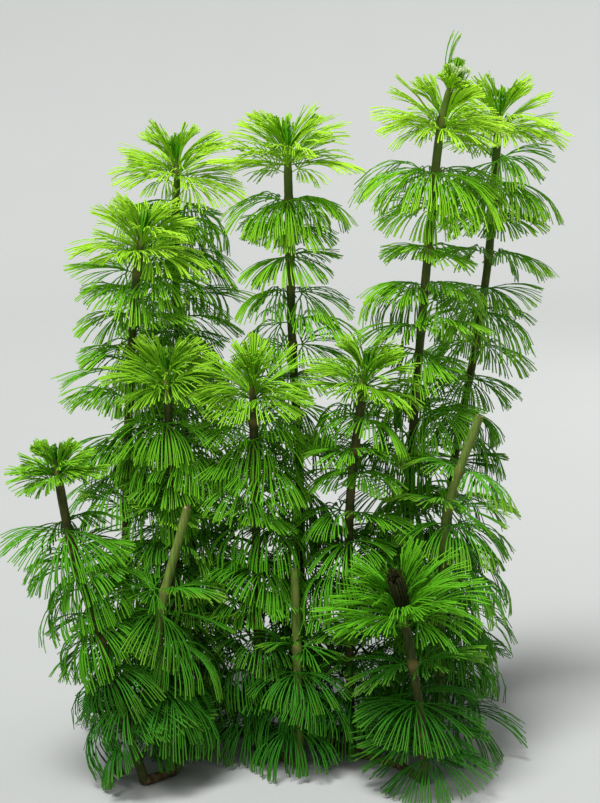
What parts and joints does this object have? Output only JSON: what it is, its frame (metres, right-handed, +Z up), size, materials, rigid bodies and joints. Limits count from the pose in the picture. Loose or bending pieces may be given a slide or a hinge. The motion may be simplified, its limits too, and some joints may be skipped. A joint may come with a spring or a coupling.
{
  "type": "carolina fanwort clump",
  "caption": "Carolina fanwort (Cabomba caroliniana), a clump of upright shoots with pairs of fan leaves, on one creeping rootstock cut off flat.",
  "frame": {"origin": "on the ground, at the flat underside of the rootstock, under the foot of the middle shoot", "axes": "+Z up along the shoots, +X to the right as the clump is seen from the front, +Y to the back"},
  "size_m": [0.211, 0.156, 0.281],
  "materials": {
    "crown_leaf": "bright lime green young leaves, faintly glossy, light comes through",
    "upper_leaf": "mid green leaves with pale ribs and tips, faintly glossy",
    "low_leaf": "deep green older leaves with pale forks",
    "stem": "smooth dark olive stem with tan joints",
    "trimmed_stem": "dull olive tan stem with a pale cut top",
    "rootstock": "rough brown creeping stem"
  },
  "bodies": {
    "root": {"crown_centre_low": "crown_leaf", "crown_dark_tip": "crown_leaf", "crown_far_left": "crown_leaf", "crown_left_back": "crown_leaf", "crown_left_front": "crown_leaf", "crown_left_low": "crown_leaf", "crown_middle": "crown_leaf", "crown_right_low": "crown_leaf", "crown_tall_back": "crown_leaf", "crown_tall_front": "crown_leaf", "leaves_centre_low_1": "upper_leaf", "leaves_centre_low_2": "upper_leaf", "leaves_centre_low_3": "low_leaf", "leaves_dark_tip_1": "low_leaf", "leaves_dark_tip_2": "low_leaf", "leaves_far_left_1": "upper_leaf", "leaves_far_left_2": "low_leaf", "leaves_left_back_1": "upper_leaf", "leaves_left_back_2": "upper_leaf", "leaves_left_back_3": "low_leaf", "leaves_left_front_1": "upper_leaf", "leaves_left_front_2": "upper_leaf", "leaves_left_front_3": "upper_leaf", "leaves_left_front_4": "low_leaf", "leaves_left_low_1": "upper_leaf", "leaves_left_low_2": "low_leaf", "leaves_middle_1": "upper_leaf", "leaves_middle_2": "upper_leaf", "leaves_middle_3": "upper_leaf", "leaves_middle_4": "low_leaf", "leaves_right_low_1": "upper_leaf", "leaves_right_low_2": "upper_leaf", "leaves_right_low_3": "low_leaf", "leaves_stump_left_1": "low_leaf", "leaves_stump_left_2": "low_leaf", "leaves_stump_middle_1": "low_leaf", "leaves_stump_right_1": "low_leaf", "leaves_stump_right_2": "low_leaf", "leaves_tall_back_1": "upper_leaf", "leaves_tall_back_2": "upper_leaf", "leaves_tall_back_3": "upper_leaf", "leaves_tall_back_4": "low_leaf", "leaves_tall_front_1": "upper_leaf", "leaves_tall_front_2": "upper_leaf", "leaves_tall_front_3": "upper_leaf", "leaves_tall_front_4": "upper_leaf", "rootstock": "rootstock", "stem_centre_low": "stem", "stem_dark_tip": "stem", "stem_far_left": "stem", "stem_left_back": "stem", "stem_left_front": "stem", "stem_left_low": "stem", "stem_middle": "stem", "stem_right_low": "stem", "stem_stump_left": "trimmed_stem", "stem_stump_middle": "trimmed_stem", "stem_stump_right": "trimmed_stem", "stem_tall_back": "stem", "stem_tall_front": "stem"}
  },
  "joints": []
}
